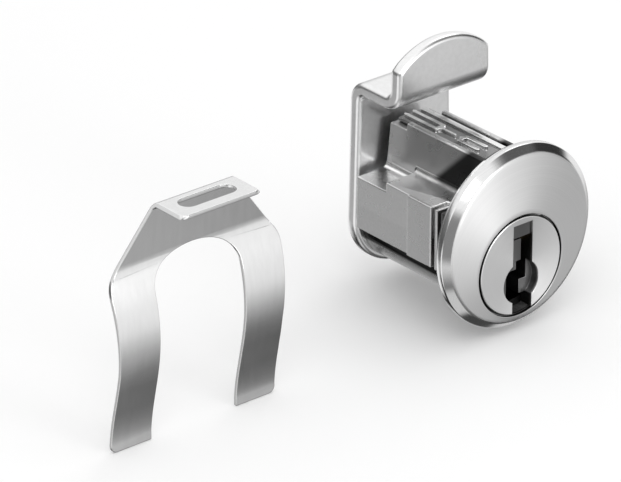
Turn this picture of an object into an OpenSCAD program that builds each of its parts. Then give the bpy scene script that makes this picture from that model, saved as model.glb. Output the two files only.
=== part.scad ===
// Mailbox lock with a hooked cam and its horseshoe mounting clip.
// Millimetres. The origin is on the plug's axis, in the plane where the door sits against the flange.
// X runs to the right seen from the front, Y runs back into the box, Z runs up.

/* [Face] */
// Diameter of the round face
face_d = 23.5; // [22.5:0.1:26]
// Height of the face's centre above the plug's axis
face_rise = 3.6; // [3:0.1:4]
// Thickness of the face, from its front to the door
face_t = 2.3; // [2:0.1:3]
// Width of the polished bevel round the face
face_bevel = 0.95; // [0.5:0.05:1.2]
// Sheet thickness of the spun cap
cap_wall = 0.6; // [0.4:0.05:0.7]
// How much of the cast rim shows behind the cap
rim_show = 0.45; // [0.3:0.05:0.6]

/* [Plug] */
// Diameter of the plug's head
head_d = 12.7; // [12:0.1:13]
// Distance of the head's shoulder in front of the door plane
head_seat = 0.3; // [0.1:0.05:0.6]
// Diameter of the plug's body
plug_d = 10.8; // [10:0.1:11]
// Radial running clearance of the plug
plug_fit = 0.05; // [0.02:0.01:0.1]
// Radial gap between the head and the cap
cap_gap = 0.15; // [0.1:0.05:0.3]
// Diameter of the rear boss that drives the cam
tail_d = 8.4; // [7.5:0.1:9]
// Width across the boss's two flats
tail_flats = 6.4; // [5.5:0.1:7]

/* [Keyway] */
// Width of the key slot
key_w = 3.05; // [2.6:0.05:3.2]
// Sideways offset of the key slot
key_x = 0.3; // [0:0.05:0.4]
// Height of the slot's top on the face
key_top = 5.45; // [4.8:0.05:5.6]
// Height of the slot's top inside the plug
key_inner_top = 3.6; // [3:0.1:4]
// Diameter of the round recess in the slot
eye_d = 5.5; // [4.5:0.1:6]
// Depth of the round recess
eye_depth = 1.2; // [0.6:0.1:2]
// Height of the round recess's centre
eye_z = -2.2; // [-2.6:0.1:-1.5]
// How far the wards stand back from the face
ward_back = 0.4; // [0.2:0.1:0.8]
// Width of the upper ward
ward_upper_w = 1.55; // [1.2:0.05:1.7]
// Width of the lower ward
ward_lower_w = 1.05; // [0.8:0.05:1.2]
// Gap between the wards and the slot's walls, above and below
ward_drop = 0.2; // [0.1:0.05:0.4]

/* [Housing] */
// Diameter of the round barrel
barrel_d = 13.2; // [12.8:0.1:14.4]
// Length of the body behind the door plane
body_l = 18.1; // [17.4:0.1:20]
// Width over the two side lugs
lug_w = 16.9; // [16:0.1:17.2]
// Height of the lugs at the front
lug_h = 8; // [7.5:0.1:8.5]
// Height of the lugs at the rear
lug_rear_h = 6.85; // [6:0.05:7.2]
// Distance of the step between the two lug heights from the door
lug_step_y = 12.7; // [11:0.1:14]
// Distance of the end of the front pads from the door
pad_end_y = 8.5; // [7:0.1:10]
// How far the front pads stand out of the lugs
pad_proud = 0.3; // [0.1:0.05:0.4]
// Radius of the fillet where the lugs meet the pin tower
lug_fillet = 0.7; // [0.3:0.1:1]
// Height of the pin tower above the axis
tower_top = 13.4; // [13:0.1:14.5]
// Width of the pin tower at its top
tower_w = 6.2; // [6:0.1:6.6]
// Width of the pin tower at the lugs
tower_foot_w = 7.6; // [7:0.1:8]
// Length of the relief at the tower's rear corners
relief_l = 3; // [1:0.1:3.5]
// Depth of the relief at the tower's rear corners
relief_h = 0.9; // [0.4:0.1:1.2]

/* [Clip grooves] */
// Width left between the two grooves of a pair
groove_core = 12.2; // [11.9:0.1:12.6]
// Width of each groove along the body
groove_w = 0.65; // [0.6:0.05:0.8]
// Distance of the front pair of grooves from the door plane
groove_front_y = 2.3; // [1.5:0.1:2.4]
// Distance of the rear pair of grooves from the door plane
groove_rear_y = 3.45; // [3.4:0.05:4.5]

/* [Pins] */
// Distance of the first pin from the door plane
pin_first = 2.7; // [2.6:0.1:3]
// Distance from pin to pin
pin_pitch = 3; // [2.9:0.05:3.05]
// Diameter of the pins
pin_d = 2.3; // [2:0.05:2.4]
// Radial clearance of the pins
pin_fit = 0.05; // [0.03:0.01:0.1]
// Length of the driver pins
driver_l = 3; // [2.5:0.1:3.4]
// Shortest key pin
key_pin_base = 2.4; // [2.2:0.1:2.6]
// Added key pin length for each step of the key's cuts
cut_step = 0.4; // [0.3:0.05:0.4]
// Cut of the first pin
cut_1 = 2; // [0:1:5]
// Cut of the second pin
cut_2 = 4; // [0:1:5]
// Cut of the third pin
cut_3 = 1; // [0:1:5]
// Cut of the fourth pin
cut_4 = 5; // [0:1:5]
// Cut of the fifth pin
cut_5 = 3; // [0:1:5]
// Wire diameter of the pin springs
wire_d = 0.28; // [0.2:0.02:0.32]
// Turns of each pin spring
coils = 5; // [4:1:6]

/* [Spring cover] */
// Width of the cover strip
cover_w = 4.4; // [4:0.1:4.5]
// Thickness of the cover strip
cover_t = 0.45; // [0.3:0.05:0.5]
// Side clearance of the strip in its groove
cover_fit = 0.1; // [0.05:0.05:0.2]
// Height of the strip's raised ribs
rib_h = 0.3; // [0.2:0.05:0.35]

/* [Cam] */
// Width of the cam plate
cam_w = 15.4; // [15:0.1:16.5]
// Reach of the cam's rounded foot below the axis
cam_foot = 7.1; // [6.8:0.1:7.8]
// Width of the cam at its shelf
cam_top_w = 14.3; // [14:0.1:15.5]
// Sheet thickness of the cam
cam_t = 1.8; // [1.2:0.1:2]
// Height of the shelf's top
shelf_z = 18.5; // [17.5:0.1:20]
// Distance of the tongue's front from the door plane
tongue_y = 11.8; // [10:0.1:12.5]
// Height of the tongue above the shelf
tongue_h = 6.4; // [5:0.1:8]
// Drop of the tongue's arched edge from its middle to its ends
tongue_drop = 2.8; // [1.5:0.1:4]
// Inside radius of the cam's bends
bend_r = 0.8; // [0.5:0.1:1.2]

/* [Cam fastening] */
// Thickness of the stop washer
stop_t = 0.9; // [0.7:0.1:1.2]
// Turn between the stops
turn_deg = 90; // [80:5:100]
// Diameter of the cam screw
screw_d = 3.5; // [3:0.1:4]
// Diameter of the cam screw's head
screw_head_d = 6.6; // [6:0.1:7.5]
// Height of the cam screw's head
screw_head_h = 2; // [1.5:0.1:2.5]
// Thickness of the toothed lock washer
lock_t = 0.5; // [0.4:0.1:0.8]

/* [Mounting clip] */
// Thickness of the clip's spring steel
clip_t = 0.5; // [0.4:0.05:0.55]
// Gap between the clip's legs
clip_gap = 12.5; // [12.4:0.1:13.2]
// Rise of the rounded arch between the legs
arch_rise = 4.1; // [3.5:0.1:5.5]
// Width of each leg
leg_w = 5.8; // [4.5:0.1:6.5]
// Height of the crown between the arch and the tab
crown_h = 6.8; // [5:0.1:8]
// Length of the legs below the arch's top
leg_l = 23.5; // [20:0.1:26]
// Radius of the rounded shoulders
shoulder_r = 3.5; // [2:0.1:5]
// Width of the tab
tab_w = 11; // [9:0.1:12]
// Depth of the tab
tab_l = 5.5; // [4.5:0.1:6]
// Length of the slot in the tab
slot_l = 7.8; // [5:0.1:8]
// Width of the slot in the tab
slot_w = 2.4; // [1.4:0.1:2.6]
// Distance of the tab's bend behind the groove plane
top_back = 0.9; // [0:0.1:1.5]
// Distance of the crease behind the groove plane
crease_back = 1.5; // [0.8:0.1:2.5]
// Forward bow of the legs
bow_front = 0.55; // [0.2:0.05:1]
// Distance of the heels behind the groove plane
heel_back = 1.45; // [0.8:0.05:2.5]
// Sideways distance of the removed clip from the lock
clip_x = -44; // [-60:1:-36]
// Height of the removed clip above its working height
clip_lift = 0.1; // [0:0.1:5]

/* [Hidden] */

$fn = 64;
seat = 0.05;            // clearance between faces that are assembled against each other
over = 1;               // how far a cut runs past the face it opens
head_r = head_d / 2;
plug_r = plug_d / 2;
bore_r = plug_r + plug_fit;
barrel_r = barrel_d / 2;
face_r = face_d / 2;
rim_r = face_r - 0.3;
cap_depth = face_t - rim_show;
pin_r = pin_d / 2;
chamber_r = pin_r + pin_fit;
cuts = [cut_1, cut_2, cut_3, cut_4, cut_5];
pin_rest_z = 0.2;       // bottom of the pin chambers in the plug
shear_gap = 0.1;        // distance of each pin's end from the shear line
driver_z = bore_r + shear_gap;
groove_z = tower_top - cover_t - 0.35;
ridge_in = cover_w / 2 + cover_fit;
cover_y = 1.1;          // distance of the cover strip's front end from the door plane
rib_w = 0.5;            // width of the strip's paired ribs
rib_pair = [0.05, -1.25];
cam_y = body_l + seat + stop_t + seat;
shelf_under = shelf_z - cam_t;
bend_out = bend_r + cam_t;
tail_end = cam_y + cam_t - seat;
stop_r = barrel_r - 0.1;
stop_hub_r = bore_r - 0.1;
stop_fit_deg = 0.5;
clip_inner = clip_gap / 2;
clip_y = groove_rear_y + groove_w / 2;
arch_top = tower_top + 0.9;
clip_arch_z = arch_top + clip_lift;
clip_crown_z = clip_arch_z + crown_h;
clip_foot_z = clip_arch_z - leg_l;
clip_half = clip_inner + leg_w;

// Points of an arc round [x, y]
function arc(c, r, a0, a1, n = 10) =
  [for (i = [0:n]) let(a = a0 + (a1 - a0) * i / n) [c[0] + r * cos(a), c[1] + r * sin(a)]];

function pin_y(i) = pin_first + pin_pitch * (i - 1);
function key_pin_l(i) = key_pin_base + cut_step * cuts[i - 1];

// A flat X-Z outline made solid from y0 to y1
module along_y(y0, y1) {
  translate([0, y1, 0]) rotate([90, 0, 0]) linear_extrude(y1 - y0) children();
}

// A flat Y-Z outline made solid across the width w
module across_x(w) {
  translate([-w / 2, 0, 0]) rotate([90, 0, 90]) linear_extrude(w) children();
}

// A round bar along Y from y0 to y1
module bar_y(r, y0, y1) {
  translate([0, y0, 0]) rotate([-90, 0, 0]) cylinder(r = r, h = y1 - y0);
}

// A profile of [radius, y] points spun round the Y axis
module spun_y() {
  rotate([-90, 0, 0]) rotate_extrude($fn = 96) children();
}

// Outline of the plug's flat-sided rear boss, enlarged by gap
module tail_outline(gap = 0) {
  intersection() {
    circle(r = tail_d / 2 + gap);
    square([tail_flats + 2 * gap, tail_d + 4 * gap], center = true);
  }
}

// Spun cap: a thin front with a bevelled edge, open at the back and round the plug
module face_cap() {
  flat_r = face_r - face_bevel;
  soft = 0.25;
  inner_r = face_r - cap_wall;
  inner_flat = flat_r - cap_wall * 0.4;
  color("gainsboro")
  difference() {
    translate([0, 0, face_rise]) spun_y() polygon(concat(
      [[0, -face_t], [flat_r - soft, -face_t]],
      [[flat_r + soft * 0.6, -face_t + soft * 0.4], [face_r - soft * 0.4, -face_t + face_bevel - soft * 0.6]],
      [[face_r, -face_t + face_bevel + soft], [face_r, -face_t + cap_depth], [inner_r, -face_t + cap_depth]],
      [[inner_r, -face_t + cap_wall + face_bevel], [inner_flat, -face_t + cap_wall], [0, -face_t + cap_wall]]));
    bar_y(head_r + cap_gap, -face_t - over, over);
  }
}

// Cross-section of the two lugs, their tops at height h and their width w over all
module lug_outline(h, w) {
  translate([-w / 2, 0]) square([w, h]);
}

// The rounded inside corner between a lug's top and the tower wall, on both sides
module lug_fillets(h) {
  lean = (tower_foot_w - tower_w) / 2 / (tower_top - lug_rear_h);
  foot = tower_foot_w / 2 - lean * (h - lug_rear_h);
  for (side = [-1, 1]) scale_side(side) difference() {
    translate([foot - 0.3, h - 0.1]) square([lug_fillet + 0.3, lug_fillet + 0.1]);
    translate([foot + lug_fillet, h + lug_fillet]) circle(r = lug_fillet, $fn = 32);
  }
}

// Mirrors a flat outline to the left when side is -1
module scale_side(side) {
  mirror([side < 0 ? 1 : 0, 0]) children();
}

// Cross-section of the pin tower with drafted sides and softened top edges
module tower_outline() {
  soft = 0.3;
  polygon(concat(
    [[-tower_foot_w / 2, 0], [tower_foot_w / 2, 0], [tower_foot_w / 2, lug_rear_h]],
    arc([tower_w / 2 - soft, tower_top - soft], soft, 0, 90, 4),
    arc([soft - tower_w / 2, tower_top - soft], soft, 90, 180, 4),
    [[-tower_foot_w / 2, lug_rear_h]]));
}

// The quarter of the barrel's rear rim that stops the turn
module stop_boss() {
  from = 180 + stop_fit_deg;
  to = 180 + turn_deg - stop_fit_deg;
  reach = 2 * barrel_r;
  along_y(body_l - seat, body_l + stop_t) intersection() {
    difference() {
      circle(r = barrel_r);
      circle(r = bore_r + 0.1);
    }
    polygon(concat([[0, 0]], arc([0, 0], reach, from, to, 6)));
  }
}

// Die-cast housing: flange, barrel, lugs and pin tower in one piece
module lock_housing() {
  lug_mid = lug_step_y;
  color("darkgray")
  difference() {
    union() {
      translate([0, 0, face_rise]) {
        bar_y(rim_r, -rim_show + seat, 0);
        bar_y(face_r - cap_wall - seat, -face_t + cap_wall + face_bevel, 0);
        bar_y(face_r - face_bevel - cap_wall, -face_t + cap_wall + seat, 0);
      }
      bar_y(barrel_r, -over / 2, body_l);
      along_y(-over / 2, body_l) tower_outline();
      along_y(-over / 2, lug_mid) lug_outline(lug_h, lug_w);
      along_y(lug_mid - seat, body_l) lug_outline(lug_rear_h, lug_w);
      along_y(-over / 2, pad_end_y) lug_outline(lug_h, lug_w + 2 * pad_proud);
      along_y(-over / 2, lug_mid) lug_fillets(lug_h);
      along_y(lug_mid - seat, body_l) lug_fillets(lug_rear_h);
      stop_boss();
    }
    bar_y(bore_r, -face_t, body_l + over);
    bar_y(head_r + plug_fit, -face_t - over, -head_seat);
    for (i = [1:5]) translate([0, pin_y(i), 0]) cylinder(r = chamber_r, h = tower_top + over);
    cover_groove();
    tower_relief();
    clip_grooves();
  }
}

// Groove in the tower's top that holds the cover strip
module cover_groove() {
  y0 = cover_y - 0.2;
  translate([-ridge_in, y0, groove_z]) cube([2 * ridge_in, body_l - y0 + over, tower_top]);
}

// Lowered corners at the rear of the tower
module tower_relief() {
  inner = tower_w / 2 - 1.3;
  for (side = [-1, 1]) {
    x0 = side < 0 ? -tower_foot_w : inner;
    translate([x0, body_l - relief_l, tower_top - relief_h]) cube([tower_foot_w - inner, relief_l + over, tower_top]);
  }
}

// Two pairs of side grooves for the clip's legs, one for a thin door and one for a thick door
module clip_grooves() {
  for (y = [groove_front_y, groove_rear_y]) for (side = [-1, 1]) {
    x0 = side < 0 ? -lug_w : groove_core / 2;
    translate([x0, y, -barrel_r - over]) cube([lug_w - groove_core / 2, groove_w, barrel_r + lug_h + 2 * over]);
  }
}

// Plug with its head, keyway, pin chambers and flat-sided rear boss
module plug() {
  soft = 0.12;
  slot_left = key_x - key_w / 2;
  slot_end = pin_y(5) + chamber_r + 0.3;
  color("silver")
  difference() {
    union() {
      spun_y() polygon([[0, -face_t], [head_r - soft, -face_t], [head_r, -face_t + soft],
        [head_r, -head_seat - seat], [plug_r, -head_seat - seat], [plug_r, body_l + seat / 2],
        [0, body_l + seat / 2]]);
      along_y(body_l - seat, tail_end) tail_outline();
    }
    translate([slot_left, -face_t - over, -head_d])
      cube([key_w, over + ward_back, head_d + key_top]);
    difference() {
      translate([slot_left, -face_t, -head_d]) cube([key_w, face_t + slot_end, head_d + key_inner_top]);
      upper_ward(slot_left);
      lower_ward(slot_left);
    }
    translate([0.1, 0, eye_z]) bar_y(eye_d / 2, -face_t - over, -face_t + eye_depth);
    for (i = [1:5]) translate([0, pin_y(i), pin_rest_z]) cylinder(r = chamber_r, h = plug_d);
    bar_y(screw_d / 2 + seat, slot_end + 0.5, tail_end + over);
  }
}

// Ward from the slot's left wall, which also carries the key pins when no key is in
module upper_ward(slot_left) {
  translate([slot_left - over, -face_t + ward_back, -1.1])
    cube([over + ward_upper_w, body_l + face_t, 1.1 + key_inner_top - ward_drop]);
}

// Ward from the slot's right wall
module lower_ward(slot_left) {
  translate([slot_left + key_w - ward_lower_w, -face_t + ward_back, eye_z - 2.2])
    cube([over + ward_lower_w, body_l + face_t, 1.9]);
}

// Stepped strip that closes the pin chambers
module spring_cover() {
  y0 = cover_y;
  y1 = body_l - 0.4;
  front = [4, 8];
  rear = [11.6, y1];
  color("lightgray")
  union() {
    translate([-cover_w / 2, y0, groove_z]) cube([cover_w, y1 - y0, cover_t]);
    for (x = rib_pair) {
      cover_rib(x, rib_w, front[0], front[1]);
      cover_rib(x, rib_w, rear[0], rear[1]);
    }
    cover_point(front[1] - 0.5, front[1] + 0.4);
    cover_point(rear[0] + 0.6, rear[0] - 0.5);
    cover_rib(rib_pair[1] + 0.65, 0.35, 8.9, rear[0]);
    cover_rib(1.4, 0.8, y0, y1);
  }
}

// A raised rib with a pointed plan at each end, centred on x and w wide
module cover_rib(x, w, y0, y1) {
  translate([x, 0, groove_z + cover_t - 0.05]) linear_extrude(rib_h + 0.05)
    polygon([[-w / 2, y0 + w / 2], [0, y0], [w / 2, y0 + w / 2], [w / 2, y1 - w / 2], [0, y1], [-w / 2, y1 - w / 2]]);
}

// The point that closes a pair of ribs, from its base to its tip
module cover_point(base, tip) {
  translate([0, 0, groove_z + cover_t - 0.05]) linear_extrude(rib_h + 0.05)
    polygon([[rib_pair[0] + rib_w / 2, base], [rib_pair[1] + 0.65, tip], [rib_pair[1] - rib_w / 2, base]]);
}

// Upper pin with chamfered ends
module driver_pin(i) {
  edge = 0.2;
  color("goldenrod")
  translate([0, pin_y(i), driver_z]) rotate_extrude($fn = 48)
    polygon([[0, 0], [pin_r - edge, 0], [pin_r, edge], [pin_r, driver_l - edge],
      [pin_r - edge, driver_l], [0, driver_l]]);
}

// Lower pin with a pointed foot that reads the key's cut
module key_pin(i) {
  long = key_pin_l(i);
  point = 0.55;
  color("goldenrod")
  translate([0, pin_y(i), pin_rest_z + seat]) rotate_extrude($fn = 48)
    polygon([[0, 0], [0.45, 0], [pin_r, point], [pin_r, long - 0.15], [pin_r - 0.15, long], [0, long]]);
}

// Coil spring between a driver pin and the cover strip
module pin_spring(i) {
  sides = 6;
  steps = 12;
  wire_r = wire_d / 2;
  coil_r = pin_r - wire_r - 0.05;
  z0 = driver_z + driver_l + wire_r + 0.01;
  z1 = groove_z - wire_r - 0.01;
  count = coils * steps;
  rings = [for (k = [0:count]) let(a = 360 * k / steps, z = z0 + (z1 - z0) * k / count)
    [for (s = [0:sides - 1]) let(b = 360 * s / sides, r = coil_r + wire_r * cos(b))
      [r * cos(a), r * sin(a), z + wire_r * sin(b)]]];
  points = [for (ring = rings) each ring];
  faces = concat(
    [[for (s = [0:sides - 1]) s]],
    [for (k = [0:count - 1]) for (s = [0:sides - 1]) let(a = k * sides + s, b = k * sides + (s + 1) % sides)
      each [[a, a + sides, b + sides], [a, b + sides, b]]],
    [[for (s = [sides - 1:-1:0]) count * sides + s]]);
  color("silver") translate([0, pin_y(i), 0]) polyhedron(points, faces);
}

// Washer on the plug's boss whose wide half meets the housing's stop
module stop_washer() {
  color("dimgray")
  along_y(body_l + seat, body_l + seat + stop_t - seat) difference() {
    union() {
      circle(r = stop_hub_r);
      intersection() {
        circle(r = stop_r);
        polygon(arc([0, 0], 2 * stop_r, 0, 360 - 2 * turn_deg, 8));
      }
    }
    tail_outline(seat);
  }
}

// Side view of the cam: plate, shelf bent forward, tongue bent up
module cam_side() {
  rear_bend = [cam_y - bend_r, shelf_under - bend_r];
  tongue_bend = [tongue_y + bend_out, shelf_under + bend_out];
  low = -cam_w;
  high = shelf_z + 2 * tongue_h;
  polygon(concat(
    [[cam_y + cam_t, low], [cam_y, low]],
    arc(rear_bend, bend_r, 0, 90),
    arc(tongue_bend, bend_out, 270, 180),
    [[tongue_y, high], [tongue_y + cam_t, high]],
    arc(tongue_bend, bend_r, 180, 270),
    arc(rear_bend, bend_out, 90, 0)));
}

// Front view of the cam: round foot, slightly drawn-in sides, arched top
module cam_front() {
  foot = [cam_w / 2, cam_foot];
  half = cam_top_w / 2;
  crown = shelf_z + tongue_h;
  arch_r = (half * half + tongue_drop * tongue_drop) / (2 * tongue_drop);
  arch_a = asin(half / arch_r) * 0.86;
  corner_r = 0.9;
  corner_x = half - corner_r;
  corner_z = crown - tongue_drop - corner_r / 2;
  turn = 35;
  polygon(concat(
    [for (a = [180:4.5:360]) [foot[0] * cos(a), foot[1] * sin(a)]],
    arc([corner_x, corner_z], corner_r, 0, turn, 4),
    arc([0, crown - arch_r], arch_r, 90 - arch_a, 90 + arch_a, 28),
    arc([-corner_x, corner_z], corner_r, 180 - turn, 180, 4)));
}

// Hooked cam stamped from one strip
module cam() {
  color("silver")
  difference() {
    intersection() {
      across_x(cam_w + 2) cam_side();
      along_y(tongue_y - over, cam_y + cam_t + over) cam_front();
    }
    along_y(cam_y - over, cam_y + cam_t + over) tail_outline(seat);
  }
}

// Toothed washer under the screw head
module lock_washer() {
  teeth = 14;
  tip_r = 4.3;
  root_r = 3.5;
  y0 = cam_y + cam_t;
  color("dimgray")
  along_y(y0, y0 + lock_t) difference() {
    polygon([for (k = [0:4 * teeth - 1]) let(r = k % 4 < 2 ? tip_r : root_r, a = 90 * k / teeth)
      [r * cos(a), r * sin(a)]]);
    circle(r = screw_d / 2 + seat);
  }
}

// Slotted pan-head screw that holds the cam
module cam_screw() {
  y0 = cam_y + cam_t + lock_t;
  y_tip = pin_y(5) + chamber_r + 1.1;
  head = screw_head_d / 2;
  soft = 0.5;
  color("gray")
  difference() {
    spun_y() polygon(concat(
      [[0, y_tip], [screw_d / 2 - 0.4, y_tip], [screw_d / 2, y_tip + 0.4], [screw_d / 2, y0], [head, y0]],
      arc([head - soft, y0 + screw_head_h - soft], soft, 0, 90, 5),
      [[0, y0 + screw_head_h]]));
    translate([-head - over, y0 + screw_head_h - 0.9, -0.4]) cube([2 * (head + over), 2, 0.8]);
  }
}

// Height of a smooth curve at t from 0 to 1, between y0 and y1 with slopes m0 and m1
function ease(t, y0, y1, m0, m1) =
  y0 * (2 * t * t * t - 3 * t * t + 1) + m0 * (t * t * t - 2 * t * t + t)
  + y1 * (3 * t * t - 2 * t * t * t) + m1 * (t * t * t - t * t);

// Curved run between two heights of the clip, where zs are the heights, ys the depths and ms the slopes
function run(z, zs, ys, ms) =
  let(drop = zs[1] - zs[0]) ease((z - zs[0]) / drop, ys[0], ys[1], ms[0] * drop, ms[1] * drop);

// Depth of the clip's middle surface behind the groove plane at height z: crown, crease, bowed legs, heels
function clip_bow(z) =
  let(crease_z = clip_arch_z - 1.1, crown_z = crease_z + 1.2, under_z = crease_z - 1.2, waist_z = clip_arch_z - 9.9,
    heel_z = clip_foot_z + 1.2, lean = (top_back - crease_back) / (clip_crown_z - crease_z), under = 0.42)
  z >= crown_z ? crease_back + lean * (z - crease_z)
  : z >= under_z ? run(z, [crown_z, under_z], [crease_back + lean * 1.2, crease_back - under * 1.3], [lean, under])
  : z >= waist_z ? run(z, [under_z, waist_z], [crease_back - under * 1.3, -bow_front], [under, 0])
  : run(max(z, heel_z), [waist_z, heel_z], [-bow_front, heel_back], [0, -0.08]);

// Point at the distance off from the clip's middle surface at height z
function clip_skin(z, off) =
  let(slope = (clip_bow(z + 0.01) - clip_bow(z - 0.01)) / 0.02, long = sqrt(1 + slope * slope))
  [clip_bow(z) + off / long, z - off * slope / long];

// Side view of the clip's sheet, from the tab over its bend and down the leg
module clip_side() {
  steps = 56;
  half = clip_t / 2;
  bend = 0.7;
  bend_z = clip_crown_z - bend - half;
  bend_c = [clip_bow(bend_z) - bend, bend_z];
  front_y = top_back + half - tab_l;
  heights = [for (k = [0:steps]) bend_z + (clip_foot_z - bend_z) * k / steps];
  polygon(concat(
    [[front_y, bend_z + bend - half], [front_y, bend_z + bend + half]],
    arc(bend_c, bend + half, 90, 10, 6),
    [for (z = heights) clip_skin(z, half)],
    [for (k = [steps:-1:0]) clip_skin(heights[k], -half)],
    arc(bend_c, bend - half, 10, 90, 4)));
}

// Front view of the clip: crown, rounded shoulders, two legs and the arch between them
module clip_front() {
  arch_z = clip_arch_z - arch_rise;
  centre = [clip_half + 0.25 - shoulder_r, clip_arch_z - 3.5];
  to_tab = [tab_w / 2 - centre[0], clip_crown_z - centre[1]];
  turn = atan2(to_tab[1], to_tab[0]) - acos(shoulder_r / norm(to_tab));
  waist_z = clip_arch_z - 13;
  corner = 0.8;
  foot = [clip_half - corner, clip_foot_z + corner];
  side = concat(
    [[tab_w / 2, clip_crown_z + over], [tab_w / 2, clip_crown_z]],
    arc(centre, shoulder_r, turn, 0, 8),
    [[clip_half - 0.15, waist_z]],
    arc(foot, corner, 0, -90, 4));
  difference() {
    polygon(concat(side, [for (k = [len(side) - 1:-1:0]) [-side[k][0], side[k][1]]]));
    translate([0, arch_z]) polygon(concat(
      [for (a = [0:7.5:180]) [clip_inner * cos(a), arch_rise * sin(a)]],
      [[-clip_inner, clip_foot_z - arch_z - over], [clip_inner, clip_foot_z - arch_z - over]]));
  }
}

// Oblong slot through the tab
module tab_slot() {
  straight = slot_l - slot_w;
  translate([0, top_back + clip_t / 2 - tab_l / 2, clip_crown_z - over]) {
    translate([-straight / 2, -slot_w / 2, -over]) cube([straight, slot_w, 3 * over]);
    for (side = [-1, 1]) translate([side * straight / 2, 0, -over]) cylinder(r = slot_w / 2, h = 3 * over, $fn = 32);
  }
}

// Horseshoe spring clip that slides down over the body behind the door
module mounting_clip() {
  color("lightsteelblue")
  translate([clip_x, clip_y, 0]) difference() {
    intersection() {
      across_x(2 * clip_half + 4) clip_side();
      along_y(-tab_l - over, 2 * heel_back + over) clip_front();
    }
    tab_slot();
  }
}

face_cap();
lock_housing();
plug();
spring_cover();
driver_pin(1);  // driver_pin_1
driver_pin(2);  // driver_pin_2
driver_pin(3);  // driver_pin_3
driver_pin(4);  // driver_pin_4
driver_pin(5);  // driver_pin_5
key_pin(1);  // key_pin_1
key_pin(2);  // key_pin_2
key_pin(3);  // key_pin_3
key_pin(4);  // key_pin_4
key_pin(5);  // key_pin_5
pin_spring(1);  // pin_spring_1
pin_spring(2);  // pin_spring_2
pin_spring(3);  // pin_spring_3
pin_spring(4);  // pin_spring_4
pin_spring(5);  // pin_spring_5
stop_washer();
cam();
lock_washer();
cam_screw();
mounting_clip();
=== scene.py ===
import math

import bmesh
import bpy
from mathutils import Matrix, Vector


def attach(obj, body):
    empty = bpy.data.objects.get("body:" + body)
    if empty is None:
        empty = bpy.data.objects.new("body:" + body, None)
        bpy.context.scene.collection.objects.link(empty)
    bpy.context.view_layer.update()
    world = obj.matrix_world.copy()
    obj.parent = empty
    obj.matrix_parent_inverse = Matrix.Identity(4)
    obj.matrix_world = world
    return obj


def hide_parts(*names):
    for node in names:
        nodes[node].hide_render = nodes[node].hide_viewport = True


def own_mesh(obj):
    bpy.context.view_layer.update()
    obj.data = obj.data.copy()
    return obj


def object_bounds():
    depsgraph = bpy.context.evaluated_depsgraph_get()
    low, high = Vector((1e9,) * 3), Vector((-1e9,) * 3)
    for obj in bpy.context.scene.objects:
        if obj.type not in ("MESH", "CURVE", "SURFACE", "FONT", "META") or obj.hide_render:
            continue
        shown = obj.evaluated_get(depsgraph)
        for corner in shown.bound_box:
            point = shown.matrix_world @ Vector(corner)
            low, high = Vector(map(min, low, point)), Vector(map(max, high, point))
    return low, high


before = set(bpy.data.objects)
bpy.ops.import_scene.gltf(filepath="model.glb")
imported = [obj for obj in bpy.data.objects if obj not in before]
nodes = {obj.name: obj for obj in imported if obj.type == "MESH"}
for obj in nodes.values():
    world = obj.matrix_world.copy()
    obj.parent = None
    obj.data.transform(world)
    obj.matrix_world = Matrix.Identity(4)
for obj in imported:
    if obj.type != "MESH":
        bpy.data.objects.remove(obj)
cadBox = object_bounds()
mm = 0.001
print("frame loaded with", len(nodes), "nodes")


# shader nodes, kept short because every finish below uses them

noiseSpan = (0.3, 0.7)  # nearly all of a noise texture lies between these
noiseDetail = {"grain": 4.0, "cloud": 2.0, "rings": 5.0}
acrossAxis = (1, 0, 1)  # drops the part of a place that lies along the plug


def addNode(tree, kind, **settings):
    node = tree.nodes.new(kind)
    for key, value in settings.items():
        setattr(node, key, value)
    return node


def feed(tree, socket, value):
    if isinstance(value, bpy.types.NodeSocket):
        tree.links.new(value, socket)
    elif value is not None:
        socket.default_value = value


def maths(tree, operation, first, second=None, third=None):
    node = addNode(tree, "ShaderNodeMath", operation=operation)
    for socket, value in zip(node.inputs, (first, second, third)):
        feed(tree, socket, value)
    return node.outputs[0]


def vectors(tree, operation, first, second=None):
    node = addNode(tree, "ShaderNodeVectorMath", operation=operation)
    feed(tree, node.inputs[0], first)
    feed(tree, node.inputs[1], second)
    return node.outputs["Value" if operation in ("LENGTH", "DOT_PRODUCT") else "Vector"]


def split(tree, vector):
    node = addNode(tree, "ShaderNodeSeparateXYZ")
    feed(tree, node.inputs[0], vector)
    return node.outputs


# soft fade of a value between two levels
def fade(tree, value, none, full, kind="SMOOTHSTEP", results=(0, 1)):
    node = addNode(tree, "ShaderNodeMapRange", interpolation_type=kind)
    feed(tree, node.inputs["Value"], value)
    for name, number in zip(("From Min", "From Max", "To Min", "To Max"), (none, full, *results)):
        node.inputs[name].default_value = number
    return node.outputs["Result"]


# sockets 6 and 7 of this node are its two colours, and output 2 the mixed one
def mixColour(tree, factor, first, second):
    node = addNode(tree, "ShaderNodeMix", data_type="RGBA")
    feed(tree, node.inputs[0], factor)
    feed(tree, node.inputs[6], first)
    feed(tree, node.inputs[7], second)
    return node.outputs[2]


def mottle(tree, place, scale, detail, rough=0.6):
    node = addNode(tree, "ShaderNodeTexNoise")
    feed(tree, node.inputs["Vector"], place)
    node.inputs["Scale"].default_value = scale
    node.inputs["Detail"].default_value = detail
    node.inputs["Roughness"].default_value = rough
    return node.outputs["Fac"]


def relief(tree, shader, height, strength, depth):
    node = addNode(tree, "ShaderNodeBump")
    node.inputs["Strength"].default_value = strength
    node.inputs["Distance"].default_value = depth
    feed(tree, node.inputs["Height"], height)
    tree.links.new(node.outputs["Normal"], shader.inputs["Normal"])


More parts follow.
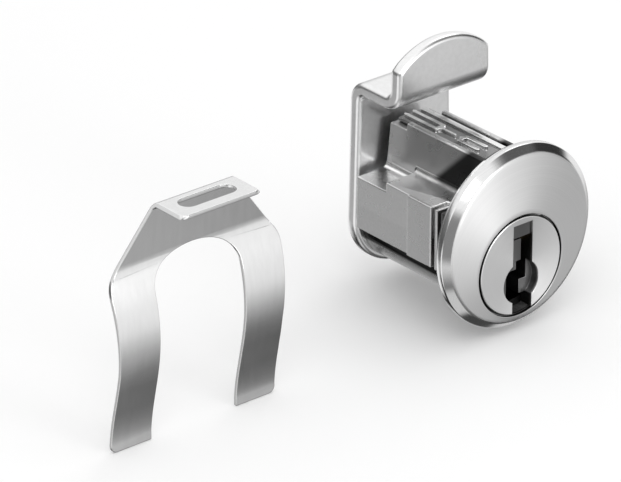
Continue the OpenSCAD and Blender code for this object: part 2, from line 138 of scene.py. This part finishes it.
def startFinish(name):
    mat = bpy.data.materials.new(name)
    mat.use_nodes = True
    tree = mat.node_tree
    shader = tree.nodes["Principled BSDF"]
    shader.inputs["Metallic"].default_value = 1.0
    place = addNode(tree, "ShaderNodeTexCoord").outputs["Object"]
    return mat, tree, shader, place


def grey(level, warm=0.0):
    return (level * (1 + warm), level, level * (1 - warm), 1)


# soft-edged zones of painted light and shade on a piece, each with its own colour. Every measure
# of a zone, in mm, fades from none at its first number to full at its second. Lean grows to the
# upper rear.
def addPaintedShading(tree, place, colour, paintedShading):
    x, y, z = split(tree, place)
    measures = {"x": maths(tree, "ABSOLUTE", x), "y": y, "z": z, "lean": maths(tree, "ADD", y, z),
                "radius": vectors(tree, "LENGTH", vectors(tree, "MULTIPLY", place, acrossAxis))}
    for paintedZone in paintedShading:
        mask = None
        for name, none, full in paintedZone["fades"]:
            part = fade(tree, measures[name], none * mm, full * mm)
            mask = part if mask is None else maths(tree, "MULTIPLY", mask, part)
        colour = mixColour(tree, mask, colour, paintedZone["colour"])
    return colour


# plated or rolled metal with a fine grain and a slightly uneven polish, and painted light and
# shade where the look lists them
def grainedMetal(name, look):
    mat, tree, shader, place = startFinish(name)
    squeezed = vectors(tree, "MULTIPLY", place, look.get("along", (1, 1, 1)))
    grain = mottle(tree, squeezed, look["grain"], noiseDetail["grain"])
    cloud = mottle(tree, place, look["cloud"], noiseDetail["cloud"])
    feed(tree, shader.inputs["Roughness"], fade(tree, cloud, *noiseSpan, results=look["rough"]))
    colour = mixColour(tree, fade(tree, grain, *noiseSpan), look["dark"], look["light"])
    if "paintedShading" in look:
        colour = addPaintedShading(tree, place, colour, look["paintedShading"])
    feed(tree, shader.inputs["Base Color"], colour)
    relief(tree, shader, grain, look["bump"], look["depth"])
    return mat


# scale and roughness of the rings' noise, and how far a ring's tone drifts on its way round
ringGrain = {"scale": 1.0, "rough": 0.7, "around": 0.35}
quarterTurn = 0.25
realHeight = {"strength": 1.0, "depth": 1.0}  # heights in metres, taken as they are


# metal turned on a lathe: fine rings round the plug's axis, a polished edge that is
# concentric with the piece itself, and zones of painted light and shade
def turnedMetal(name, look):
    mat, tree, shader, place = startFinish(name)
    flat = vectors(tree, "MULTIPLY", place, acrossAxis)
    centred = vectors(tree, "SUBTRACT", place, (0, 0, look["edgeZ"]))
    fromEdge = vectors(tree, "MULTIPLY", centred, acrossAxis)
    radius = vectors(tree, "LENGTH", flat)
    polished = fade(tree, vectors(tree, "LENGTH", fromEdge), look["polishFrom"], look["polishTo"])

    ringPlace = addNode(tree, "ShaderNodeCombineXYZ")
    feed(tree, ringPlace.inputs[0], maths(tree, "MULTIPLY", radius, look["rings"]))
    drift = (ringGrain["around"], 0, ringGrain["around"])
    outward = vectors(tree, "MULTIPLY", vectors(tree, "NORMALIZE", flat), drift)
    ringed = vectors(tree, "ADD", ringPlace.outputs[0], outward)
    rings = mottle(tree, ringed, ringGrain["scale"], noiseDetail["rings"], ringGrain["rough"])

    cloud = mottle(tree, place, look["cloud"], noiseDetail["cloud"])
    satin = fade(tree, cloud, *noiseSpan, results=look["rough"])
    shine = fade(tree, polished, 0, 1, kind="LINEAR", results=(1, look["polish"]))
    feed(tree, shader.inputs["Roughness"], maths(tree, "MULTIPLY", satin, shine))
    colour = mixColour(tree, fade(tree, rings, *noiseSpan), look["dark"], look["light"])
    colour = addPaintedShading(tree, place, colour, look["paintedShading"])
    feed(tree, shader.inputs["Base Color"], colour)

    # the brush lines follow the rings, so the gloss is drawn out across them
    shader.inputs["Anisotropic"].default_value = look["brushed"]
    shader.inputs["Anisotropic Rotation"].default_value = quarterTurn
    centre = mixColour(tree, polished, flat, fromEdge)
    around = vectors(tree, "NORMALIZE", vectors(tree, "CROSS_PRODUCT", centre, (0, 1, 0)))
    toWorld = addNode(tree, "ShaderNodeVectorTransform", vector_type="VECTOR",
                      convert_from="OBJECT", convert_to="WORLD")
    feed(tree, toWorld.inputs[0], around)
    tree.links.new(toWorld.outputs[0], shader.inputs["Tangent"])

    # no rings on the polished edge, and a slight cone as buffing leaves it
    ringDepth = fade(tree, polished, 0, 1, kind="LINEAR", results=(look["depth"], 0))
    grooves = maths(tree, "MULTIPLY", rings, ringDepth)
    buffed = maths(tree, "MULTIPLY", radius, -look["cone"])
    relief(tree, shader, maths(tree, "ADD", grooves, buffed), **realHeight)
    return mat


# finishes

faceLook = {
    "edgeZ": 3.6 * mm, "polishFrom": 10.7 * mm, "polishTo": 10.95 * mm, "polish": 0.45,
    "rings": 9000, "cloud": 160, "rough": (0.29, 0.33), "dark": grey(0.81), "light": grey(0.86),
    "brushed": 0.6, "cone": 0.13, "depth": 0.0008 * mm,
    "paintedShading": [
        # painted shade in the seam round the plug
        {"fades": [("y", -2.2, -2.0), ("radius", 6.9, 6.8)], "colour": grey(0.05)}]}
plugLook = {
    "edgeZ": 0.0, "polishFrom": 6.22 * mm, "polishTo": 6.3 * mm, "polish": 0.6,
    "rings": 9000, "cloud": 220, "rough": (0.28, 0.32), "dark": grey(0.93), "light": grey(0.97),
    "brushed": 0.6, "cone": -0.08, "depth": 0.0008 * mm,
    "paintedShading": [
        # painted shade inside the key slot, and in the seam round the plug
        {"fades": [("y", -2.25, -1.85)], "colour": grey(0.17)},
        {"fades": [("radius", 6.27, 6.32)], "colour": grey(0.04)}]}
castLook = {
    "grain": 2600, "cloud": 260, "rough": (0.26, 0.32), "dark": grey(0.68), "light": grey(0.72),
    "bump": 0.06, "depth": 0.02 * mm,
    "paintedShading": [
        # painted shade on the sides of the pin tower
        {"fades": [("x", 4.0, 3.7), ("z", 8.2, 8.8), ("z", 13.3, 13.1)], "colour": grey(0.55)},
        # painted light on the tops of the ledges on the lugs
        {"fades": [("x", 8.5, 8.3), ("x", 3.9, 4.1), ("z", 3.0, 3.5)], "colour": grey(0.95)},
        # painted shadow of the flange in the corner between tower and flange
        {"fades": [("lean", 18.4, 17.0), ("x", 4.3, 3.9), ("z", 8.2, 8.6)], "colour": grey(0.04)},
        # painted shadow on the barrel under the lugs
        {"fades": [("z", 0.05, -0.1), ("z", -2.9, -2.3), ("x", 7.2, 6.8)], "colour": grey(0.03)},
        # painted shadow of the flange on the barrel and lugs next to it
        {"fades": [("y", 3.6, 1.6), ("y", 0.05, 0.3), ("radius", 6.5, 6.6)], "colour": grey(0.06)},
        # painted shade inside the bore
        {"fades": [("radius", 6.6, 6.5), ("z", 5.5, 5.3)], "colour": grey(0.05)}]}
coverLook = {
    "grain": 2600, "cloud": 300, "rough": (0.13, 0.18), "dark": grey(0.92), "light": grey(0.96),
    "bump": 0.1, "depth": 0.015 * mm, "along": (1, 0.1, 1),
    "paintedShading": [
        # painted shade on the floor between the rails
        {"fades": [("z", 13.25, 13.1)], "colour": grey(0.3)}]}
camLook = {
    "grain": 1800, "cloud": 140, "rough": (0.27, 0.32), "dark": grey(0.90), "light": grey(0.95),
    "bump": 0.1, "depth": 0.02 * mm}
zincLook = {
    "grain": 2400, "cloud": 300, "rough": (0.26, 0.36), "dark": grey(0.60, -0.01),
    "light": grey(0.68, -0.01), "bump": 0.2, "depth": 0.015 * mm}
springLook = {
    "grain": 1500, "cloud": 110, "rough": (0.17, 0.21), "dark": grey(0.83), "light": grey(0.86),
    "bump": 0.03, "depth": 0.012 * mm, "along": (1, 1, 0.08)}
brassLook = {
    "grain": 2200, "cloud": 400, "rough": (0.20, 0.30), "dark": (0.70, 0.52, 0.22, 1),
    "light": (0.80, 0.62, 0.30, 1), "bump": 0.12, "depth": 0.01 * mm}

satinFace = turnedMetal("satin_face_finish", faceLook)
plugFace = turnedMetal("plug_face_finish", plugLook)
castPlating = grainedMetal("cast_plating", castLook)
coverPlating = grainedMetal("cover_plating", coverLook)
camPlating = grainedMetal("cam_plating", camLook)
zincPlating = grainedMetal("zinc_plating", zincLook)
springSteel = grainedMetal("spring_steel_finish", springLook)
pinBrass = grainedMetal("pin_brass_finish", brassLook)
print("finishes made")


# geometry helpers: distances that count as touching, and angles in degrees

shaping = {"merge": 0.001 * mm, "tidy": 0.004 * mm, "sliver": 0.002 * mm,
           "flatAngle": 0.5, "edgeAngle": 30, "shadeAngle": 50}


def sharpEdges(bm):
    least = math.radians(shaping["edgeAngle"])
    return [e for e in bm.edges if len(e.link_faces) == 2 and e.calc_face_angle(0) > least]


def roundEdges(bm, edges, width, segments):
    bmesh.ops.bevel(bm, geom=[e for e in edges if e.is_valid], offset=width, offset_type="OFFSET",
                    segments=segments, profile=0.5, affect="EDGES", clamp_overlap=False,
                    material=-1)


def finishPiece(bm, name, body, finish, stoodFor):
    mesh = bpy.data.meshes.new(name)
    bm.to_mesh(mesh)
    bm.free()
    piece = bpy.data.objects.new(name, mesh)
    bpy.context.scene.collection.objects.link(piece)
    mesh.materials.append(finish)
    for face in mesh.polygons:
        face.use_smooth = True
    mesh.set_sharp_from_angle(angle=math.radians(shaping["shadeAngle"]))
    steady = piece.modifiers.new("steady_shading", "WEIGHTED_NORMAL")
    steady.keep_sharp = True
    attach(piece, body)
    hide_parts(stoodFor)
    return piece


# a merged copy of a CAD node's mesh
def copyNode(node):
    bm = bmesh.new()
    bm.from_mesh(nodes[node].data)
    bmesh.ops.remove_doubles(bm, verts=bm.verts, dist=shaping["merge"])
    return bm


def middleOf(edge):
    return (edge.verts[0].co + edge.verts[1].co) / 2


# a copy of a CAD node with its edges worn round, as tumbling and plating leave them
def softened(node, name, body, finish, soft, worn=None, corner=None):
    bm = copyNode(node)
    bmesh.ops.dissolve_limit(bm, angle_limit=math.radians(shaping["flatAngle"]),
                             verts=bm.verts, edges=bm.edges)
    bmesh.ops.recalc_face_normals(bm, faces=bm.faces)
    if corner:
        corners = [e for e in sharpEdges(bm) if corner(e)]
        roundEdges(bm, corners, soft["cornerWidth"], soft["cornerSegments"])
    edges = [e for e in sharpEdges(bm) if worn is None or worn(middleOf(e))]
    roundEdges(bm, edges, soft["width"], soft["segments"])
    bmesh.ops.remove_doubles(bm, verts=bm.verts, dist=shaping["tidy"])
    bmesh.ops.dissolve_degenerate(bm, dist=shaping["sliver"], edges=bm.edges)
    finishPiece(bm, name, body, finish, node)


# round face: a spun cap whose slightly crowned front runs up to the plug

cap = {"radius": 11.75 * mm, "bevel": 0.95 * mm, "slope": 1.1, "wall": 0.6 * mm,
       "innerStep": 0.4, "front": -2.3 * mm, "rimEnd": -0.45 * mm, "centreZ": 3.6 * mm,
       "hole": 6.6 * mm, "crown": 0.14 * mm, "steps": 128, "bands": 9, "spread": 5 * mm,
       "shoulder": 0.28 * mm, "shoulderSegments": 6, "brim": 0.12 * mm, "brimSegments": 4,
       "lip": 0.06 * mm, "lipSegments": 2}


def ringAt(bm, radius, y, centreZ):
    place = Matrix.Translation((0, y, centreZ)) @ Matrix.Rotation(math.radians(90), 4, "X")
    known = set(bm.edges)
    bmesh.ops.create_circle(bm, segments=cap["steps"], radius=radius, cap_ends=False, matrix=place)
    return [e for e in bm.edges if e not in known]


def makeFaceCap():
    bm = bmesh.new()
    front, wall, centreZ, hole = cap["front"], cap["wall"], cap["centreZ"], cap["hole"]
    outer, inner = cap["radius"], cap["radius"] - wall
    flat = outer - cap["bevel"]
    bevelEnd = front + cap["bevel"] * cap["slope"]
    innerFlat = flat - wall * cap["innerStep"]
    # radius, depth and centre of each ring, from the bevel round the rim to the plug's hole
    profile = [(flat, front, centreZ), (outer, bevelEnd, centreZ), (outer, cap["rimEnd"], centreZ),
               (inner, cap["rimEnd"], centreZ), (inner, bevelEnd + wall, centreZ),
               (innerFlat, front + wall, centreZ), (hole, front + wall, 0), (hole, front, 0)]
    # the rings are joined while they stand far apart, then each is pushed to its own depth
    rings = [ringAt(bm, radius, k * cap["spread"], centre)
             for k, (radius, _, centre) in enumerate(profile)]
    corners = [{vert for edge in ring for vert in edge.verts} for ring in rings]
    spans = [bmesh.ops.bridge_loops(bm, edges=first + second)
             for first, second in zip(rings, rings[1:] + rings[:1])]
    for ring, (_, depth, _) in zip(corners, profile):
        for vert in ring:
            vert.co.y = depth
    bmesh.ops.recalc_face_normals(bm, faces=bm.faces)
    bmesh.ops.subdivide_edges(bm, edges=spans[-1]["edges"], cuts=cap["bands"])
    roundEdges(bm, rings[0], cap["shoulder"], cap["shoulderSegments"])
    roundEdges(bm, rings[1], cap["brim"], cap["brimSegments"])
    roundEdges(bm, rings[2] + rings[3] + rings[7], cap["lip"], cap["lipSegments"])
    # the front falls away towards the bevel, less and less behind it
    for vert in bm.verts:
        reach = Vector((vert.co.x, vert.co.z - centreZ)).length
        share = 1 - (vert.co.y - front) / (bevelEnd - front)
        if share > 0:
            vert.co.y += cap["crown"] * (reach / flat) ** 2 * share
    finishPiece(bm, "face_cap_spun", "housing", satinFace, "face_cap")


makeFaceCap()
print("face made")


# die casting: its bore, its chambers and what lies before the door plane stay sharp

castingSoft = {"width": 0.17 * mm, "segments": 3, "bore": 6.6 * mm, "chamberHalf": 1.5 * mm,
               "chamberTop": 12.9 * mm, "doorPlane": 0.1 * mm}


def castingWorn(middle):
    inBore = middle.xz.length < castingSoft["bore"]
    inChamber = abs(middle.x) < castingSoft["chamberHalf"] and middle.z < castingSoft["chamberTop"]
    return middle.y > castingSoft["doorPlane"] and not inBore and not inChamber


softened("lock_housing", "housing_casting", "housing", castPlating, castingSoft,
         worn=castingWorn)


# plug: its pin holes stay sharp, so that the pins run free in them

plugSoft = {"width": 0.06 * mm, "segments": 2, "holesFrom": 0.5 * mm, "holesTo": 17 * mm}


def plugWorn(middle):
    return not plugSoft["holesFrom"] < middle.y < plugSoft["holesTo"]


softened("plug", "plug_core", "plug_group", plugFace, plugSoft, worn=plugWorn)


# strip over the pin chambers

coverSoft = {"width": 0.07 * mm, "segments": 2}
softened("spring_cover", "cover_strip", "housing", coverPlating, coverSoft)
print("casting, plug and cover made")


# cam: tumbled nearly round along its outline, sharp round its hole

camSoft = {"width": 0.6 * mm, "segments": 6, "holeReach": 5 * mm}


def camWorn(middle):
    return middle.xz.length > camSoft["holeReach"]


softened("cam", "hooked_cam", "plug_group", camPlating, camSoft, worn=camWorn)


# washers and screw, which turn with the cam

stopSoft = {"width": 0.1 * mm, "segments": 2}
softened("stop_washer", "stop_disc", "plug_group", zincPlating, stopSoft)

lockWasherSoft = {"width": 0.06 * mm, "segments": 2}
softened("lock_washer", "toothed_washer", "plug_group", zincPlating, lockWasherSoft)

screwSoft = {"width": 0.1 * mm, "segments": 3}
softened("cam_screw", "cam_bolt", "plug_group", zincPlating, screwSoft)
print("cam, washers and screw made")


# spring clip: the short upright edges at the front of its tab are rounded first

clipSoft = {"width": 0.1 * mm, "segments": 3, "cornerWidth": 0.7 * mm, "cornerSegments": 6,
            "cornerAbove": 18 * mm, "cornerTall": 0.4 * mm}


def clipCorner(edge):
    low, high = sorted(vert.co.z for vert in edge.verts)
    inTab = low > clipSoft["cornerAbove"] and max(vert.co.y for vert in edge.verts) < 0
    return inTab and high - low > clipSoft["cornerTall"]


softened("mounting_clip", "horseshoe_clip", "housing", springSteel, clipSoft,
         corner=clipCorner)
print("clip made")


# coils, copied from the CAD springs, each with its own mesh and the spring finish

coil = {"count": 5, "top": 12.59 * mm, "keep": 0.5}


def makeCoil(number):
    node = "pin_spring_%d" % number
    spring = finishPiece(copyNode(node), "pin_coil_%d" % number, "housing",
                         springSteel, node)
    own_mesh(spring)


for number in range(1, coil["count"] + 1):
    makeCoil(number)

# the CAD nodes still showing are the brass pins
for node in nodes.values():
    if node.hide_render:
        continue
    node.data.materials.clear()
    node.data.materials.append(pinBrass)
print("coils and pins finished")


# studio: pale floor, white surround, soft lamps and grey shades that only the metal sees.
# Shades are pairs of height and level, from straight down, -1, to straight up, 1.
# A flag is a soft spot: where it stands, the cosines at its edge and its core, and its level.

studio = {
    "roomLight": 0.9,
    "frontShades": [(-1, 0.06), (-0.78, 0.07), (-0.67, 0.08), (-0.6, 0.11), (-0.54, 0.26),
                    (-0.44, 0.44), (-0.38, 0.58), (-0.33, 0.78), (-0.27, 0.86), (-0.2, 0.9),
                    (0, 0.93), (1, 1.0)],
    "backShades": [(-1, 0.02), (-0.6, 0.02), (-0.52, 0.42), (-0.44, 0.5), (-0.34, 0.18),
                   (-0.1, 0.1), (0.27, 0.2), (0.4, 0.85), (0.5, 1.0)],
    "leftShades": [(-1, 0.09), (-0.8, 0.1), (-0.7, 0.24), (-0.6, 0.41), (-0.54, 0.53),
                   (-0.44, 0.7), (-0.38, 0.78), (-0.34, 0.88), (-0.2, 0.95), (0, 1.0)],
    "rightShades": [(-1, 0.15), (-0.85, 0.35), (-0.65, 0.56), (-0.52, 0.55), (-0.44, 0.5),
                    (-0.36, 0.45), (-0.1, 0.46), (0.1, 0.6), (0.4, 1.0), (1, 1.0)],
    "backSide": (-0.64, 0.76, 0.0), "backFade": (0.0, 0.6), "frontFade": (-0.2, -0.35),
    "leftFade": (0.565, 0.51), "rightFade": (0.64, 0.68),
    "flags": [((0.573, -0.42, 0.667), 0.82, 0.95, 0.1),
              ((0.95, -0.1, 0.3), 0.9, 0.97, 0.03),
              ((-0.74, -0.63, 0.02), 0.85, 0.93, 0.25),
              ((-0.3, -0.25, -0.92), 0.93, 0.98, 0.63),
              ((0.52, 0.56, -0.645), 0.92, 0.97, 0.6),
              ((-0.89, 0.05, -0.45), 0.86, 0.96, 1.0),
              ((-0.17, 0.875, -0.45), 0.92, 0.98, 1.0),
              ((0.42, -0.66, -0.62), 0.986, 0.996, 0.6)]}


def shadeRamp(tree, height, stops):
    ramp = addNode(tree, "ShaderNodeValToRGB")
    elements = ramp.color_ramp.elements
    while len(elements) > 1:
        elements.remove(elements[-1])
    for index, (at, level) in enumerate(stops):
        position = 0.5 + at / 2
        spot = elements[0] if index == 0 else elements.new(position)
        spot.position = position
        spot.color = grey(level)
    feed(tree, ramp.inputs[0], maths(tree, "MULTIPLY_ADD", height, 0.5, 0.5))
    return ramp.outputs[0]


def makeWorld():
    world = bpy.data.worlds.new("white_room")
    bpy.context.scene.world = world
    world.use_nodes = True
    tree = world.node_tree
    tree.nodes.clear()
    direction = addNode(tree, "ShaderNodeTexCoord").outputs["Generated"]
    x, y, z = split(tree, direction)
    toBack = vectors(tree, "DOT_PRODUCT", direction, studio["backSide"])
    behind = fade(tree, toBack, *studio["backFade"])
    ahead = fade(tree, y, *studio["frontFade"])
    toLeft = maths(tree, "MULTIPLY", ahead, fade(tree, x, *studio["leftFade"]))
    toRight = maths(tree, "MULTIPLY", ahead, fade(tree, x, *studio["rightFade"]))
    shades = shadeRamp(tree, z, studio["frontShades"])
    for share, side in ((behind, "backShades"), (toLeft, "leftShades"), (toRight, "rightShades")):
        shades = mixColour(tree, share, shades, shadeRamp(tree, z, studio[side]))
    for aim, edge, core, level in studio["flags"]:
        near = fade(tree, vectors(tree, "DOT_PRODUCT", direction, aim), edge, core)
        shades = mixColour(tree, near, shades, grey(level))
    rays = addNode(tree, "ShaderNodeLightPath").outputs
    room = mixColour(tree, rays["Is Glossy Ray"], grey(studio["roomLight"]), shades)
    seen = maths(tree, "MAXIMUM", rays["Is Camera Ray"], rays["Is Transmission Ray"])
    light = addNode(tree, "ShaderNodeBackground")
    feed(tree, light.inputs["Color"], mixColour(tree, seen, room, grey(1.0)))
    out = addNode(tree, "ShaderNodeOutputWorld")
    tree.links.new(light.outputs[0], out.inputs["Surface"])


floorLook = {"size": 6.0, "gap": 0.05 * mm, "tone": grey(0.97)}


def makeFloor():
    low = cadBox[0].z - floorLook["gap"]
    bm = bmesh.new()
    bmesh.ops.create_grid(bm, x_segments=1, y_segments=1, size=floorLook["size"] / 2,
                          matrix=Matrix.Translation((0, 0, low)))
    mesh = bpy.data.meshes.new("pale_floor")
    bm.to_mesh(mesh)
    bm.free()
    floor = bpy.data.objects.new("pale_floor", mesh)
    bpy.context.scene.collection.objects.link(floor)
    mat = bpy.data.materials.new("pale_floor_paint")
    mat.use_nodes = True
    paint = mat.node_tree.nodes["Principled BSDF"]
    paint.inputs["Base Color"].default_value = floorLook["tone"]
    paint.inputs["Roughness"].default_value = 1.0
    paint.inputs["Specular IOR Level"].default_value = 0.0
    mesh.materials.append(mat)
    floor.visible_glossy = False


# name, place, aim, diameter in metres and power in watts
lamps = [("soft_key", (-0.28, -0.30, 0.50), (-0.02, 0, 0), 0.30, 0.40),
         ("soft_fill", (0.35, 0.10, 0.45), (-0.02, 0, 0), 0.30, 0.25),
         ("soft_front", (0.08, -0.53, 0.10), (0, 0, 0), 0.26, 0.5)]


def makeLamp(name, place, aim, size, power):
    data = bpy.data.lights.new(name, "AREA")
    data.shape = "DISK"
    data.size = size
    data.energy = power
    lamp = bpy.data.objects.new(name, data)
    bpy.context.scene.collection.objects.link(lamp)
    lamp.location = place
    lamp.rotation_euler = (Vector(aim) - Vector(place)).to_track_quat("-Z", "Y").to_euler()


makeWorld()
makeFloor()
for lampValues in lamps:
    makeLamp(*lampValues)
print("studio made")


# camera, fitted to the photograph

view = {"azimuth": 39.65, "elevation": 26.29, "distance": 0.5956,
        "target": (-0.018468, 0.014691, 0.002628), "lens": 289.86, "sensor": 36,
        "clipStart": 0.01, "clipEnd": 20}


def makeCamera():
    data = bpy.data.cameras.new("photo_view")
    data.lens = view["lens"]
    data.sensor_width = view["sensor"]
    data.clip_start = view["clipStart"]
    data.clip_end = view["clipEnd"]
    camera = bpy.data.objects.new("photo_view", data)
    bpy.context.scene.collection.objects.link(camera)
    turn, rise = math.radians(view["azimuth"]), math.radians(view["elevation"])
    back = Vector((-math.sin(turn) * math.cos(rise), -math.cos(turn) * math.cos(rise),
                   math.sin(rise)))
    camera.location = Vector(view["target"]) + back * view["distance"]
    camera.rotation_mode = "QUATERNION"
    camera.rotation_quaternion = (-back).to_track_quat("-Z", "Y")
    bpy.context.scene.camera = camera


makeCamera()
bpy.context.scene.view_settings.view_transform = "Standard"
print("camera placed")
